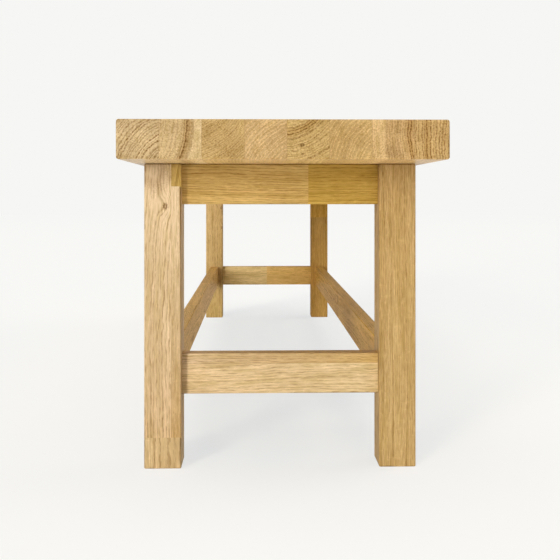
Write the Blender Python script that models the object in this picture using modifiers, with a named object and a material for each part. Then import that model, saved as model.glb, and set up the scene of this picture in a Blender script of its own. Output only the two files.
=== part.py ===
"""A solid oak bench: a seat glued up from staves on a jointed base.

Units are metres and +Z is up. X runs along the bench and Y across it. The
origin is on the floor under the middle of the seat. The near end of the bench
is at +X, and its left side is at -Y.
"""
import math

import bmesh
import bpy
from mathutils import Matrix, Vector

# Seat: staves side by side along the whole length, sawn to width and eased.
SEAT_LENGTH = 1.800
SEAT_WIDTH = 0.400
SEAT_THICKNESS = 0.048
SEAT_HEIGHT = 0.460
STAVE_COUNT = 8
TRIMMED_STAVE_SHARE = 0.157
SEAT_EDGE_RADIUS = 0.003

# Base: square legs set in from the seat's edges, with thinner rails between.
LEG_SIZE = 0.050
END_OVERHANG = 0.140
SIDE_OVERHANG = 0.016
LEG_EDGE_RADIUS = 0.002
RAIL_THICKNESS = 0.022
RAIL_EDGE_RADIUS = 0.001
APRON_HEIGHT = 0.055
STRETCHER_HEIGHT = 0.055
STRETCHER_FLOOR_GAP = 0.098

# Joinery: stub tenons in mortises, and boards joined end to end or in strips.
GLUE_GAP = 0.0003
TENON_THICKNESS = 0.010
TENON_SHOULDER = 0.010
TENON_WALL = 0.003
MORTISE_RELIEF = 0.001
FINGER_LENGTH = 0.010
FINGER_COUNT = 5
FINGER_GAP = 0.0005
NEAR_APRON_JOINT_SHARE = 0.645
FAR_STRETCHER_JOINT_SHARE = 0.50
UPPER_STRIP_HEIGHT = 0.014

# Corner blocks: braces across the corners inside the aprons.
BLOCK_HEIGHT = 0.040
BLOCK_DEPTH = 0.022
BLOCK_LEG_CLEARANCE = 0.003
BLOCK_EDGE_RADIUS = 0.001

# Seat buttons: L-shaped clips with a tongue in a slot of the apron.
BUTTON_WIDTH = 0.030
BUTTON_LENGTH = 0.034
BUTTON_HEIGHT = 0.018
BUTTON_STANDOFF = 0.002
BUTTON_SCREW_SHARE = 0.55
TONGUE_LENGTH = 0.008
TONGUE_THICKNESS = 0.006
SLOT_RELIEF = 0.002
SLOT_PLAY = 0.003
SIDE_BUTTON_SHARES = (-0.54, 0.0, 0.54)
END_BUTTON_SHARES = (-0.72, 0.72)

# Countersunk wood screws.
SHANK_RADIUS = 0.0020
HEAD_RADIUS = 0.0040
HEAD_HEIGHT = 0.0025
HEAD_RIM = 0.0004
HEAD_RECESS = 0.0005
DRIVE_RADIUS = 0.0015
DRIVE_DEPTH = 0.0015
POINT_LENGTH = 0.004
SEAT_BITE = 0.018
APRON_BITE_SHARE = 0.6
HOLE_RELIEF = 0.001
SCREW_SIDES = 12
SHARP_ANGLE = math.radians(30)

EASE_SEGMENTS = 2
OVERRUN = 0.005
MERGE_DISTANCE = 0.00001

ENDS = {"near": 1, "far": -1}
SIDES = {"left": -1, "right": 1}

# Tones of the oak boards and of the zinc-plated screws, as sRGB out of 255.
STAVE_TONES = (
    (203, 168, 114),
    (206, 171, 118),
    (198, 162, 102),
    (211, 176, 120),
    (202, 166, 106),
    (200, 165, 106),
    (208, 173, 118),
    (196, 158, 100),
)
LEG_TONES = {
    "near_left": (216, 184, 139),
    "near_right": (194, 158, 102),
    "far_left": (200, 164, 105),
    "far_right": (158, 119, 60),
}
APRON_TONE = (196, 157, 92)
APRON_DARK_TONE = (176, 137, 60)
STRETCHER_TONE = (224, 189, 138)
STRETCHER_DARK_TONE = (206, 168, 112)
HIDDEN_WOOD_TONE = (205, 170, 118)
SCREW_TONE = (196, 188, 160)
OAK_ROUGHNESS = 0.55
SCREW_ROUGHNESS = 0.35

LEG_X = SEAT_LENGTH / 2 - END_OVERHANG - LEG_SIZE / 2
LEG_Y = SEAT_WIDTH / 2 - SIDE_OVERHANG - LEG_SIZE / 2
BASE_TOP = SEAT_HEIGHT - SEAT_THICKNESS - GLUE_GAP
TENON_LENGTH = (LEG_SIZE - TENON_THICKNESS) / 2 - TENON_WALL
APRON_BOTTOM = BASE_TOP - APRON_HEIGHT

# A corner block's faces, as the sum of the distances from the leg's middle
# along the two aprons, and how far along each apron the block reaches.
BLOCK_FOOT = RAIL_THICKNESS / 2 + GLUE_GAP
BLOCK_BACK = LEG_SIZE + BLOCK_LEG_CLEARANCE * math.sqrt(2)
BLOCK_FRONT = BLOCK_BACK + BLOCK_DEPTH * math.sqrt(2)
BLOCK_REACH = BLOCK_FRONT - BLOCK_FOOT


def clear_scene():
    """Empty the scene, so that only the bench is in it."""
    for item in list(bpy.data.objects):
        bpy.data.objects.remove(item)
    for group in list(bpy.data.collections):
        bpy.data.collections.remove(group)


def new_collection(name):
    group = bpy.data.collections.new(name)
    bpy.context.scene.collection.children.link(group)
    return group


def linear(channel):
    """One sRGB channel out of 255 as linear light."""
    value = channel / 255
    if value <= 0.04045:
        return value / 12.92
    return ((value + 0.055) / 1.055) ** 2.4


def finish(mesh, tone, roughness=OAK_ROUGHNESS, metallic=0.0):
    """Give a mesh a plain material of its own in one of the tones above."""
    material = bpy.data.materials.new(mesh.name)
    material.use_nodes = True
    shader = material.node_tree.nodes["Principled BSDF"]
    colour = [linear(channel) for channel in tone]
    shader.inputs["Base Color"].default_value = (*colour, 1)
    shader.inputs["Roughness"].default_value = roughness
    shader.inputs["Metallic"].default_value = metallic
    mesh.materials.append(material)


def add_part(name, mesh, matrix):
    """One named piece of the bench, placed by its matrix."""
    part = bpy.data.objects.new(name, mesh)
    part.matrix_world = matrix
    bench.objects.link(part)
    return part


def add_cutter(name, mesh):
    """A shape that only cuts or joins other pieces."""
    cutter = bpy.data.objects.new(name, mesh)
    cutter.hide_render = True
    cutter.display_type = "WIRE"
    cutters.objects.link(cutter)
    return cutter


def boolean(part, other, operation="DIFFERENCE"):
    step = part.modifiers.new(other.name, "BOOLEAN")
    step.solver = "EXACT"
    step.operation = operation
    step.object = other


def boxes_mesh(name, boxes):
    """One mesh of separate boxes, each given by two opposite corners."""
    shape = bmesh.new()
    for low, high in boxes:
        middle = (Vector(low) + Vector(high)) / 2
        size = Vector(high) - Vector(low)
        place = Matrix.Translation(middle) @ Matrix.Diagonal((*size, 1))
        bmesh.ops.create_cube(shape, size=1, matrix=place)
    mesh = bpy.data.meshes.new(name)
    shape.to_mesh(mesh)
    shape.free()
    return mesh


def add_board(name, box, tone, is_eased, radius):
    """A board between two opposite corners, with some of its edges rounded.

    is_eased takes an edge's middle, seen from the board's own middle, and its
    direction, and says whether that edge is rounded.
    """
    low, high = [Vector(corner) for corner in box]
    shape = bmesh.new()
    bmesh.ops.create_cube(shape, size=1, matrix=Matrix.Diagonal((*(high - low), 1)))
    weight = shape.edges.layers.float.new("bevel_weight_edge")
    for edge in shape.edges:
        start, end = [vertex.co for vertex in edge.verts]
        if is_eased((start + end) / 2, (end - start).normalized()):
            edge[weight] = 1
    mesh = bpy.data.meshes.new(name)
    shape.to_mesh(mesh)
    shape.free()
    finish(mesh, tone)
    board = add_part(name, mesh, Matrix.Translation((low + high) / 2))
    bevel = board.modifiers.new("eased edges", "BEVEL")
    bevel.limit_method = "WEIGHT"
    bevel.width = radius
    bevel.segments = EASE_SEGMENTS
    return board


def evaluated_mesh(source, matrix=Matrix()):
    """The mesh that an object's curve or modifiers give, welded and closed."""
    cutters.objects.link(source)
    graph = bpy.context.evaluated_depsgraph_get()
    mesh = bpy.data.meshes.new_from_object(source.evaluated_get(graph))
    source_name = source.name
    bpy.data.objects.remove(source)
    shape = bmesh.new()
    shape.from_mesh(mesh)
    bmesh.ops.remove_doubles(shape, verts=shape.verts, dist=MERGE_DISTANCE)
    bmesh.ops.recalc_face_normals(shape, faces=shape.faces)
    shape.transform(matrix)
    shape.to_mesh(mesh)
    shape.free()
    mesh.name = source_name
    return mesh


def outline_mesh(name, points, low, high, matrix=Matrix()):
    """A flat outline, extruded along Z from one height to another."""
    curve = bpy.data.curves.new(name, "CURVE")
    curve.dimensions = "2D"
    curve.fill_mode = "BOTH"
    curve.extrude = (high - low) / 2
    spline = curve.splines.new("POLY")
    spline.points.add(len(points) - 1)
    for point, (x, y) in zip(spline.points, points):
        point.co = (x, y, 0, 1)
    spline.use_cyclic_u = True
    lift = Matrix.Translation((0, 0, (low + high) / 2))
    return evaluated_mesh(bpy.data.objects.new(name, curve), matrix @ lift)


def turned_mesh(name, profile):
    """A round solid from a profile of radius and height, top to bottom."""
    mesh = bpy.data.meshes.new(name)
    points = [(radius, 0, height) for radius, height in profile]
    edges = [(index, index + 1) for index in range(len(points) - 1)]
    mesh.from_pydata(points, edges, [])
    source = bpy.data.objects.new(name, mesh)
    screw = source.modifiers.new("turned", "SCREW")
    screw.axis = "Z"
    screw.steps = SCREW_SIDES
    screw.render_steps = SCREW_SIDES
    screw.use_merge_vertices = True
    screw.merge_threshold = MERGE_DISTANCE
    return evaluated_mesh(source)


def copies_mesh(name, pattern, places):
    """Copies of one mesh at each of the places, as separate solids."""
    shape = bmesh.new()
    for place in places:
        single = pattern.copy()
        single.transform(place)
        shape.from_mesh(single)
        bpy.data.meshes.remove(single)
    mesh = bpy.data.meshes.new(name)
    shape.to_mesh(mesh)
    shape.free()
    return mesh


def every_edge(middle, direction):
    return True


def long_edges(along):
    """Pick the edges that run the length of a rail."""
    def is_long(middle, direction):
        return abs(direction[along]) > abs(direction[1 - along])
    return is_long


def outside_edges(outer_side):
    """Pick a stave's end edges, and the edges of the seat's side if it has them."""
    def is_outside(middle, direction):
        return direction.y != 0 or outer_side * middle.y > 0
    return is_outside


def screw_mesh(name, length):
    """A countersunk screw with its head's face at zero and its point at +Z."""
    return turned_mesh(name, [
        (0, length),
        (SHANK_RADIUS, length - POINT_LENGTH),
        (SHANK_RADIUS, HEAD_HEIGHT),
        (HEAD_RADIUS, HEAD_RIM),
        (HEAD_RADIUS, 0),
        (DRIVE_RADIUS, 0),
        (0, DRIVE_DEPTH),
    ])


def hole_mesh(name, length, mouth):
    """The countersunk hole for such a screw, open below its head."""
    hole_radius = SHANK_RADIUS + GLUE_GAP
    mouth_radius = HEAD_RADIUS + GLUE_GAP
    return turned_mesh(name, [
        (0, length + HOLE_RELIEF),
        (hole_radius, length + HOLE_RELIEF),
        (hole_radius, HEAD_HEIGHT + GLUE_GAP),
        (mouth_radius, HEAD_RIM + GLUE_GAP),
        (mouth_radius, -mouth),
        (0, -mouth),
    ])


def add_screws(length, mouth, places):
    """A screw at each of the named places, and one cutter for all their holes."""
    names = list(places)
    mesh = screw_mesh(names[0], length)
    mesh.shade_smooth()
    mesh.set_sharp_from_angle(angle=SHARP_ANGLE)
    finish(mesh, SCREW_TONE, SCREW_ROUGHNESS, 1.0)
    for name, place in places.items():
        add_part(name, mesh, place)
    holes_name = names[0] + "_holes"
    hole = hole_mesh(holes_name, length, mouth)
    return add_cutter(holes_name, copies_mesh(holes_name, hole, places.values()))


def rail_box(along, across_at, bottom, top):
    """A rail's two corners; it runs from leg face to leg face."""
    reach = (LEG_X, LEG_Y)[along] - LEG_SIZE / 2 - GLUE_GAP
    half = RAIL_THICKNESS / 2
    low = [across_at - half, across_at - half, bottom]
    high = [across_at + half, across_at + half, top]
    low[along] = -reach
    high[along] = reach
    return low, high


def tenon_box(rail, along, extra_length=0, clearance=0):
    """The bar whose ends stand out of a rail as its two tenons."""
    low, high = [list(corner) for corner in rail]
    across = 1 - along
    inset = (RAIL_THICKNESS - TENON_THICKNESS) / 2 - clearance
    low[across] += inset
    high[across] -= inset
    low[2] += TENON_SHOULDER - clearance
    high[2] -= TENON_SHOULDER - clearance
    reach = TENON_LENGTH + GLUE_GAP + extra_length
    low[along] -= reach
    high[along] += reach
    return low, high


def add_rail(name, rail, along, tone, trims=()):
    """A rail with a tenon at each end; trims cut away what is another board."""
    part = add_board(name, rail, tone, long_edges(along), RAIL_EDGE_RADIUS)
    tenons = boxes_mesh(name, [tenon_box(rail, along)])
    boolean(part, add_cutter(name + "_tenons", tenons), "UNION")
    for trim in trims:
        boolean(part, trim)
    return part


def finger_joint(name, rail, share):
    """Two cutters that part an end rail at a share of its length.

    The first takes away what lies right of the joint, the second what lies
    left of it. The fingers show on the rail's edges, not on its faces.
    """
    low, high = rail
    joint_y = low[1] + share * (high[1] - low[1])
    step = RAIL_THICKNESS / (2 * FINGER_COUNT)
    past_tenon = TENON_LENGTH + OVERRUN
    found = []
    for label, far_y, shift in (
        ("right", high[1] + past_tenon, -FINGER_GAP / 2),
        ("left", low[1] - past_tenon, FINGER_GAP / 2),
    ):
        zigzag = [
            (low[0] + index * step, joint_y + shift - FINGER_LENGTH * (index % 2))
            for index in range(2 * FINGER_COUNT + 1)
        ]
        start = (low[0] - OVERRUN, joint_y + shift)
        end = (high[0] + OVERRUN, joint_y + shift)
        outline = [start, *zigzag, end, (end[0], far_y), (start[0], far_y)]
        cutter_name = name + "_joint_" + label
        mesh = outline_mesh(cutter_name, outline, low[2] - OVERRUN, high[2] + OVERRUN)
        found.append(add_cutter(cutter_name, mesh))
    return found


def glue_line(name, rail, glue_z):
    """Two cutters that part an end rail into a lower and an upper strip."""
    low, high = [list(corner) for corner in rail]
    past_tenon = TENON_LENGTH + OVERRUN
    wide_low = [low[0] - OVERRUN, low[1] - past_tenon]
    wide_high = [high[0] + OVERRUN, high[1] + past_tenon]
    above = ([*wide_low, glue_z - GLUE_GAP / 2], [*wide_high, high[2] + OVERRUN])
    below = ([*wide_low, low[2] - OVERRUN], [*wide_high, glue_z + GLUE_GAP / 2])
    return (
        add_cutter(name + "_above", boxes_mesh(name + "_above", [above])),
        add_cutter(name + "_below", boxes_mesh(name + "_below", [below])),
    )


def make_rails():
    """Aprons and stretchers; gives the aprons, and the mortises for the legs."""
    stretcher_top = STRETCHER_FLOOR_GAP + STRETCHER_HEIGHT
    aprons = []
    bars = []
    for end, sign in ENDS.items():
        apron = rail_box(1, sign * LEG_X, APRON_BOTTOM, BASE_TOP)
        stretcher = rail_box(1, sign * LEG_X, STRETCHER_FLOOR_GAP, stretcher_top)
        bars += [(apron, 1), (stretcher, 1)]
        apron_name = "end_apron_" + end
        stretcher_name = "end_stretcher_" + end
        if end == "near":
            right, left = finger_joint(apron_name, apron, NEAR_APRON_JOINT_SHARE)
            aprons += [
                add_rail(apron_name + "_long", apron, 1, APRON_TONE, [right]),
                add_rail(apron_name + "_short", apron, 1, APRON_DARK_TONE, [left]),
            ]
            glue_z = stretcher_top - UPPER_STRIP_HEIGHT
            above, below = glue_line(stretcher_name, stretcher, glue_z)
            add_rail(stretcher_name + "_upper", stretcher, 1, STRETCHER_DARK_TONE, [below])
            add_rail(stretcher_name + "_lower", stretcher, 1, STRETCHER_TONE, [above])
        else:
            aprons.append(add_rail(apron_name, apron, 1, APRON_TONE))
            right, left = finger_joint(stretcher_name, stretcher, FAR_STRETCHER_JOINT_SHARE)
            add_rail(stretcher_name + "_left", stretcher, 1, STRETCHER_DARK_TONE, [right])
            add_rail(stretcher_name + "_right", stretcher, 1, STRETCHER_TONE, [left])
    for side, sign in SIDES.items():
        apron = rail_box(0, sign * LEG_Y, APRON_BOTTOM, BASE_TOP)
        stretcher = rail_box(0, sign * LEG_Y, STRETCHER_FLOOR_GAP, stretcher_top)
        bars += [(apron, 0), (stretcher, 0)]
        aprons.append(add_rail("side_apron_" + side, apron, 0, APRON_TONE))
        add_rail("side_stretcher_" + side, stretcher, 0, STRETCHER_TONE)
    holes = [tenon_box(rail, along, MORTISE_RELIEF, GLUE_GAP) for rail, along in bars]
    return aprons, add_cutter("mortises", boxes_mesh("mortises", holes))


def make_legs(mortises):
    half = LEG_SIZE / 2
    for end, end_sign in ENDS.items():
        for side, side_sign in SIDES.items():
            corner = end + "_" + side
            name = "leg_" + corner
            x = end_sign * LEG_X
            y = side_sign * LEG_Y
            box = ((x - half, y - half, 0), (x + half, y + half, BASE_TOP))
            leg = add_board(name, box, LEG_TONES[corner], every_edge, LEG_EDGE_RADIUS)
            boolean(leg, mortises)


def make_seat(screw_holes):
    """Staves of one width, but for the last, which was sawn off at the edge."""
    pitch = SEAT_WIDTH / (STAVE_COUNT - TRIMMED_STAVE_SHARE)
    left_edge = -SEAT_WIDTH / 2
    for index in range(STAVE_COUNT):
        name = "seat_stave_" + str(index + 1)
        is_first = index == 0
        is_last = index == STAVE_COUNT - 1
        low_y = left_edge if is_first else left_edge + index * pitch + GLUE_GAP / 2
        high_y = -left_edge if is_last else left_edge + (index + 1) * pitch - GLUE_GAP / 2
        low = (-SEAT_LENGTH / 2, low_y, SEAT_HEIGHT - SEAT_THICKNESS)
        high = (SEAT_LENGTH / 2, high_y, SEAT_HEIGHT)
        is_eased = outside_edges(int(is_last) - int(is_first))
        stave = add_board(name, (low, high), STAVE_TONES[index], is_eased, SEAT_EDGE_RADIUS)
        boolean(stave, screw_holes)


def corner_places():
    """Frames at the legs' middles and tops, with X and Y pointing inwards."""
    for end, end_sign in ENDS.items():
        for side, side_sign in SIDES.items():
            turn = math.atan2(-side_sign, -end_sign) - math.pi / 4
            middle = Matrix.Translation((end_sign * LEG_X, side_sign * LEG_Y, BASE_TOP))
            yield end + "_" + side, middle @ Matrix.Rotation(turn, 4, "Z")


def make_corner_blocks(aprons):
    """Braces set square to the diagonal of each corner, screwed to the aprons."""
    outline = [
        (BLOCK_FOOT, BLOCK_BACK - BLOCK_FOOT),
        (BLOCK_FOOT, BLOCK_REACH),
        (BLOCK_REACH, BLOCK_FOOT),
        (BLOCK_BACK - BLOCK_FOOT, BLOCK_FOOT),
    ]
    corners = dict(corner_places())
    foot_middle = (BLOCK_BACK - BLOCK_FOOT + BLOCK_REACH) / 2
    head_at = BLOCK_FRONT - foot_middle - HEAD_RADIUS - GLUE_GAP
    length = head_at - RAIL_THICKNESS / 2 + APRON_BITE_SHARE * RAIL_THICKNESS
    screw_z = -BLOCK_HEIGHT / 2
    towards_end = Matrix.Translation((head_at, foot_middle, screw_z))
    towards_end = towards_end @ Matrix.Rotation(-math.pi / 2, 4, "Y")
    towards_side = Matrix.Translation((foot_middle, head_at, screw_z))
    towards_side = towards_side @ Matrix.Rotation(math.pi / 2, 4, "X")
    screws = {}
    for corner, place in corners.items():
        screws["corner_screw_" + corner + "_1"] = place @ towards_end
        screws["corner_screw_" + corner + "_2"] = place @ towards_side
    holes = add_screws(length, 2 * HEAD_RADIUS + OVERRUN, screws)
    for corner, place in corners.items():
        name = "corner_block_" + corner
        mesh = outline_mesh(name, outline, -BLOCK_HEIGHT, 0)
        finish(mesh, HIDDEN_WOOD_TONE)
        block = add_part(name, mesh, place)
        bevel = block.modifiers.new("eased edges", "BEVEL")
        bevel.width = BLOCK_EDGE_RADIUS
        bevel.segments = 1
        boolean(block, holes)
    for apron in aprons:
        boolean(apron, holes)


def button_places():
    """Frames on the aprons' inner faces, at their top, with X pointing inwards."""
    inner_y = LEG_Y - RAIL_THICKNESS / 2
    inner_x = LEG_X - RAIL_THICKNESS / 2
    between_blocks = LEG_Y - BLOCK_REACH
    places = []
    for sign in SIDES.values():
        for share in SIDE_BUTTON_SHARES:
            places.append((share * LEG_X, sign * inner_y, -sign * math.pi / 2))
    for sign in ENDS.values():
        for share in END_BUTTON_SHARES:
            facing = math.pi if sign > 0 else 0
            places.append((sign * inner_x, share * between_blocks, facing))
    for x, y, turn in places:
        yield Matrix.Translation((x, y, BASE_TOP)) @ Matrix.Rotation(turn, 4, "Z")


def make_seat_buttons(aprons):
    """L-shaped clips, their slots in the aprons and their screws."""
    places = list(button_places())
    far = BUTTON_STANDOFF + BUTTON_LENGTH
    shelf = TONGUE_THICKNESS - BUTTON_HEIGHT
    outline = [
        (BUTTON_STANDOFF, 0),
        (far, 0),
        (far, -BUTTON_HEIGHT),
        (-TONGUE_LENGTH, -BUTTON_HEIGHT),
        (-TONGUE_LENGTH, shelf),
        (BUTTON_STANDOFF, shelf),
    ]
    stand_up = Matrix.Rotation(math.pi / 2, 4, "X")
    half = BUTTON_WIDTH / 2
    slot_low = (-TONGUE_LENGTH - SLOT_RELIEF, -half - SLOT_PLAY, -BUTTON_HEIGHT - SLOT_RELIEF)
    slot_high = (OVERRUN, half + SLOT_PLAY, shelf + GLUE_GAP)
    slot = boxes_mesh("seat_button_slot", [(slot_low, slot_high)])
    slots = add_cutter("seat_button_slots", copies_mesh("seat_button_slots", slot, places))
    bpy.data.meshes.remove(slot)
    for apron in aprons:
        boolean(apron, slots)

    screw_at = BUTTON_STANDOFF + BUTTON_SCREW_SHARE * BUTTON_LENGTH
    head = Matrix.Translation((screw_at, 0, HEAD_RECESS - BUTTON_HEIGHT))
    length = BUTTON_HEIGHT - HEAD_RECESS + GLUE_GAP + SEAT_BITE
    screws = {}
    for index, place in enumerate(places):
        screws["seat_button_screw_" + str(index + 1)] = place @ head
    holes = add_screws(length, OVERRUN, screws)
    for index, place in enumerate(places):
        name = "seat_button_" + str(index + 1)
        mesh = outline_mesh(name, outline, -half, half, stand_up)
        finish(mesh, HIDDEN_WOOD_TONE)
        boolean(add_part(name, mesh, place), holes)
    return holes


clear_scene()
bench = new_collection("wooden_bench")
cutters = new_collection("cutters")

apron_parts, mortise_cutter = make_rails()
make_legs(mortise_cutter)
make_corner_blocks(apron_parts)
make_seat(make_seat_buttons(apron_parts))
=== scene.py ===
import itertools
import math

import bmesh
import bpy
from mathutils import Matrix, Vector


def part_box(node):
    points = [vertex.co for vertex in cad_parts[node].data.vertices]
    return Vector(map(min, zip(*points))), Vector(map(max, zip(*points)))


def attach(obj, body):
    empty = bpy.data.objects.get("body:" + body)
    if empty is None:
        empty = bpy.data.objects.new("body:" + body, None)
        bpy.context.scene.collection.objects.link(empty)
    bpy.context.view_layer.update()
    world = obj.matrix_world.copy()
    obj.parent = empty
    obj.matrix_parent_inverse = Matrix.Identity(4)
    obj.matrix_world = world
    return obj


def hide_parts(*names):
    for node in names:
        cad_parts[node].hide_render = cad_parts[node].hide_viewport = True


# A long oak bench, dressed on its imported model. Sizes are in metres and +Z is up. X runs
# along the bench with its near end at +X, and its left side is at -Y.
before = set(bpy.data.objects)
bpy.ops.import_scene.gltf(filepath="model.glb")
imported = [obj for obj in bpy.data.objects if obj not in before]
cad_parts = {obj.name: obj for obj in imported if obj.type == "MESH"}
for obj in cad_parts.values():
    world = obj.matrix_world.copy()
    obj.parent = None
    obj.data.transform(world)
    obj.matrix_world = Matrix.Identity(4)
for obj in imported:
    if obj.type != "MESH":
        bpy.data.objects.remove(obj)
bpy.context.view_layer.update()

# Legs: four square posts of solid oak, each glued up from narrower boards and shorter
# lengths with finger joints, then planed, eased on every edge and oiled. The aprons and
# stretchers are tenoned into them.
EASE_STEPS = 5
LEG_EASE = 0.002
FINGER_COUNT = 5
FINGER_LENGTH = 0.010
RING_WIDTH = 0.0024
RING_CONTRAST = 0.4
TOUCHING = 1e-6
SQUARE_ON = 0.99
FAR_FROM_GLUE = 1.0
NO_SAPWOOD = 1.0
NO_HEAVY_YEARS = 1.0
HEAVY_SPREAD = 0.0046
LOG_STEP = 2.7
PORE_DEPTH = 0.0004
BUMP_STRENGTH = 0.35
DULL_SHINE = 0.06
BOARD_SHADES = {"Streak Shade": 0.4, "Fleck Shade": 0.35, "Pore Shade": 0.45}
FIGURE_LAYERS = ("log", "figure", "glue_low", "glue_high")

board_numbers = itertools.count(1)


def linear(red, green, blue):
    """An sRGB colour out of 255 as linear light."""
    channels = []
    for value in (red / 255, green / 255, blue / 255):
        is_dark = value <= 0.04045
        channels.append(value / 12.92 if is_dark else ((value + 0.055) / 1.055) ** 2.4)
    return (*channels, 1)


def board_end(low, high, at, is_fingered):
    """One end of a board's outline: straight, or with fingers that reach back."""
    if not is_fingered:
        return [(low, at), (high, at)]
    step = (high - low) / (2 * FINGER_COUNT)
    return [
        (low + index * step, at - FINGER_LENGTH * (index % 2))
        for index in range(2 * FINGER_COUNT + 1)
    ]


def board_shape(shape, low, high, along, across, fingers):
    """Add a board's faces to a bmesh: its outline, extruded along the third axis."""
    flat = 3 - along - across
    outline = board_end(low[across], high[across], low[along], fingers[0])
    outline += board_end(low[across], high[across], high[along], fingers[1])[::-1]
    loops = []
    for level in (low[flat], high[flat]):
        loop = []
        for side, height in outline:
            place = Vector()
            place[across], place[along], place[flat] = side, height, level
            loop.append(shape.verts.new(place))
        loops.append(loop)
    bottom, top = loops
    faces = [shape.faces.new(bottom), shape.faces.new(top)]
    for index in range(len(outline)):
        corners = (bottom[index - 1], bottom[index], top[index], top[index - 1])
        faces.append(shape.faces.new(corners))
    bmesh.ops.recalc_face_normals(shape, faces=faces)
    return faces


def ease_arrises(shape, faces, whole, butted, ease):
    """Round the edges where two outer faces of the whole piece meet."""
    def is_outer(face):
        middle = face.calc_center_median()
        for axis in range(3):
            if abs(face.normal[axis]) > SQUARE_ON and axis != butted:
                return min(abs(middle[axis] - corner[axis]) for corner in whole) < TOUCHING
        return False

    outer = {face for face in faces if is_outer(face)}
    arrises = [
        edge for edge in shape.edges if edge.link_faces and set(edge.link_faces) <= outer
    ]
    rounded = bmesh.ops.bevel(
        shape, geom=arrises, offset=ease, segments=EASE_STEPS, profile=0.5,
        affect="EDGES", clamp_overlap=True,
    )
    for face in rounded["faces"]:
        face.smooth = True


def saw_board(shape, box, whole, along, tone, pith, end_tone_and_shade=None, rings=RING_WIDTH,
              contrast=RING_CONTRAST, fingers=(False, False), across=0, ease=LEG_EASE,
              butted=None):
    """Add one board of a glued piece to a bmesh, with its figure as attributes.

    box and whole are opposite corners of the board and of the piece. pith is where
    the log's heart lies, seen from the board's middle, on the axes across the grain.
    The tone may change towards the board's high end; on some boards that change is
    partly painted light and shade. The ends on the axis butted stay sharp, because they
    meet another piece.
    The attribute log is a point's place in the log: along the grain, then from the
    pith. glue_low and glue_high are its distances from the board's glued faces.
    """
    low, high = [Vector(corner) for corner in box]
    faces = board_shape(shape, low, high, along, across, fingers)
    ease_arrises(shape, faces, whole, butted, ease)

    layers = shape.verts.layers
    if "sawn" not in layers.int:
        layers.int.new("sawn")
        layers.float.new("heavy")
        layers.float_color.new("tone")
        for name in FIGURE_LAYERS:
            layers.float_vector.new(name)
    sawn, heavy, colour = layers.int["sawn"], layers.float["heavy"], layers.float_color["tone"]
    log, figure, glue_low, glue_high = [layers.float_vector[name] for name in FIGURE_LAYERS]
    first, second = [axis for axis in range(3) if axis != along]
    middle = (low + high) / 2
    tones = Vector(linear(*tone)), Vector(linear(*(end_tone_and_shade or tone)))
    start = next(board_numbers) * LOG_STEP
    for vertex in shape.verts:
        # The boards that were sawn before keep their own figure.
        if vertex[sawn]:
            continue
        vertex[sawn] = 1
        place = vertex.co
        from_pith = [place[axis] - middle[axis] for axis in (first, second)]
        vertex[log] = (place[along] + start, from_pith[0] - pith[0], from_pith[1] - pith[1])
        vertex[figure] = (rings, contrast, NO_SAPWOOD)
        vertex[heavy] = NO_HEAVY_YEARS
        share = (place[along] - low[along]) / (high[along] - low[along])
        vertex[colour] = tones[0].lerp(tones[1], share)
        to_low = Vector((FAR_FROM_GLUE,) * 3)
        to_high = Vector((FAR_FROM_GLUE,) * 3)
        for axis in range(3):
            is_fingered = [axis == along and finger for finger in fingers]
            if low[axis] > whole[0][axis] + TOUCHING and not is_fingered[0]:
                to_low[axis] = place[axis] - low[axis]
            if high[axis] < whole[1][axis] - TOUCHING and not is_fingered[1]:
                to_high[axis] = high[axis] - place[axis]
        vertex[glue_low] = to_low
        vertex[glue_high] = to_high


def new_object(name, data):
    thing = bpy.data.objects.new(name, data)
    bpy.context.scene.collection.objects.link(thing)
    return thing


def add_piece(name, mesh, replaced):
    """A finished piece, which stands for some nodes of the model."""
    piece = new_object(name, mesh)
    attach(piece, "root")
    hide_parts(*replaced)


def boards_mesh(name, shape, material):
    """The mesh of a piece's boards."""
    shape.verts.layers.int.remove(shape.verts.layers.int["sawn"])
    mesh = bpy.data.meshes.new(name)
    shape.to_mesh(mesh)
    shape.free()
    mesh.materials.append(material)
    return mesh


def feed(tree, socket, value):
    """Link an input from an output, or else set it to a value."""
    if isinstance(value, bpy.types.NodeSocket):
        tree.links.new(value, socket)
    else:
        socket.default_value = value


def put(tree, kind, inputs=None, **settings):
    """Add a node; each input is a value to set or an output to link from."""
    node = tree.nodes.new(kind)
    for setting, value in settings.items():
        setattr(node, setting, value)
    for key, value in (inputs or {}).items():
        feed(tree, node.inputs[key], value)
    return node


def maths(tree, operation, *operands):
    node = put(tree, "ShaderNodeMath", dict(enumerate(operands)), operation=operation)
    return node.outputs[0]


def product(tree, result, *factors):
    for factor in factors:
        result = maths(tree, "MULTIPLY", result, factor)
    return result


def vector_maths(tree, operation, *operands):
    node = put(tree, "ShaderNodeVectorMath", dict(enumerate(operands)), operation=operation)
    return node.outputs["Value" if operation == "LENGTH" else "Vector"]


def vector_of(tree, x, y, z):
    return put(tree, "ShaderNodeCombineXYZ", {"X": x, "Y": y, "Z": z}).outputs[0]


def parts_of(tree, vector):
    return tuple(put(tree, "ShaderNodeSeparateXYZ", {0: vector}).outputs)


def ramp(tree, value, start, end):
    """Smoothly 0 to 1 from start to end, which may lie below it."""
    inputs = {"Value": value, "From Min": min(start, end), "From Max": max(start, end)}
    if start > end:
        inputs.update({"To Min": 1.0, "To Max": 0.0})
    return put(tree, "ShaderNodeMapRange", inputs, interpolation_type="SMOOTHSTEP").outputs[0]


def stretched(tree, place, scales):
    """A vector with its three parts scaled."""
    return vector_maths(tree, "MULTIPLY", place, scales)


def noise(tree, vector, detail=2.0, output="Fac"):
    inputs = {"Vector": vector, "Scale": 1.0, "Detail": detail}
    return put(tree, "ShaderNodeTexNoise", inputs).outputs[output]


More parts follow.
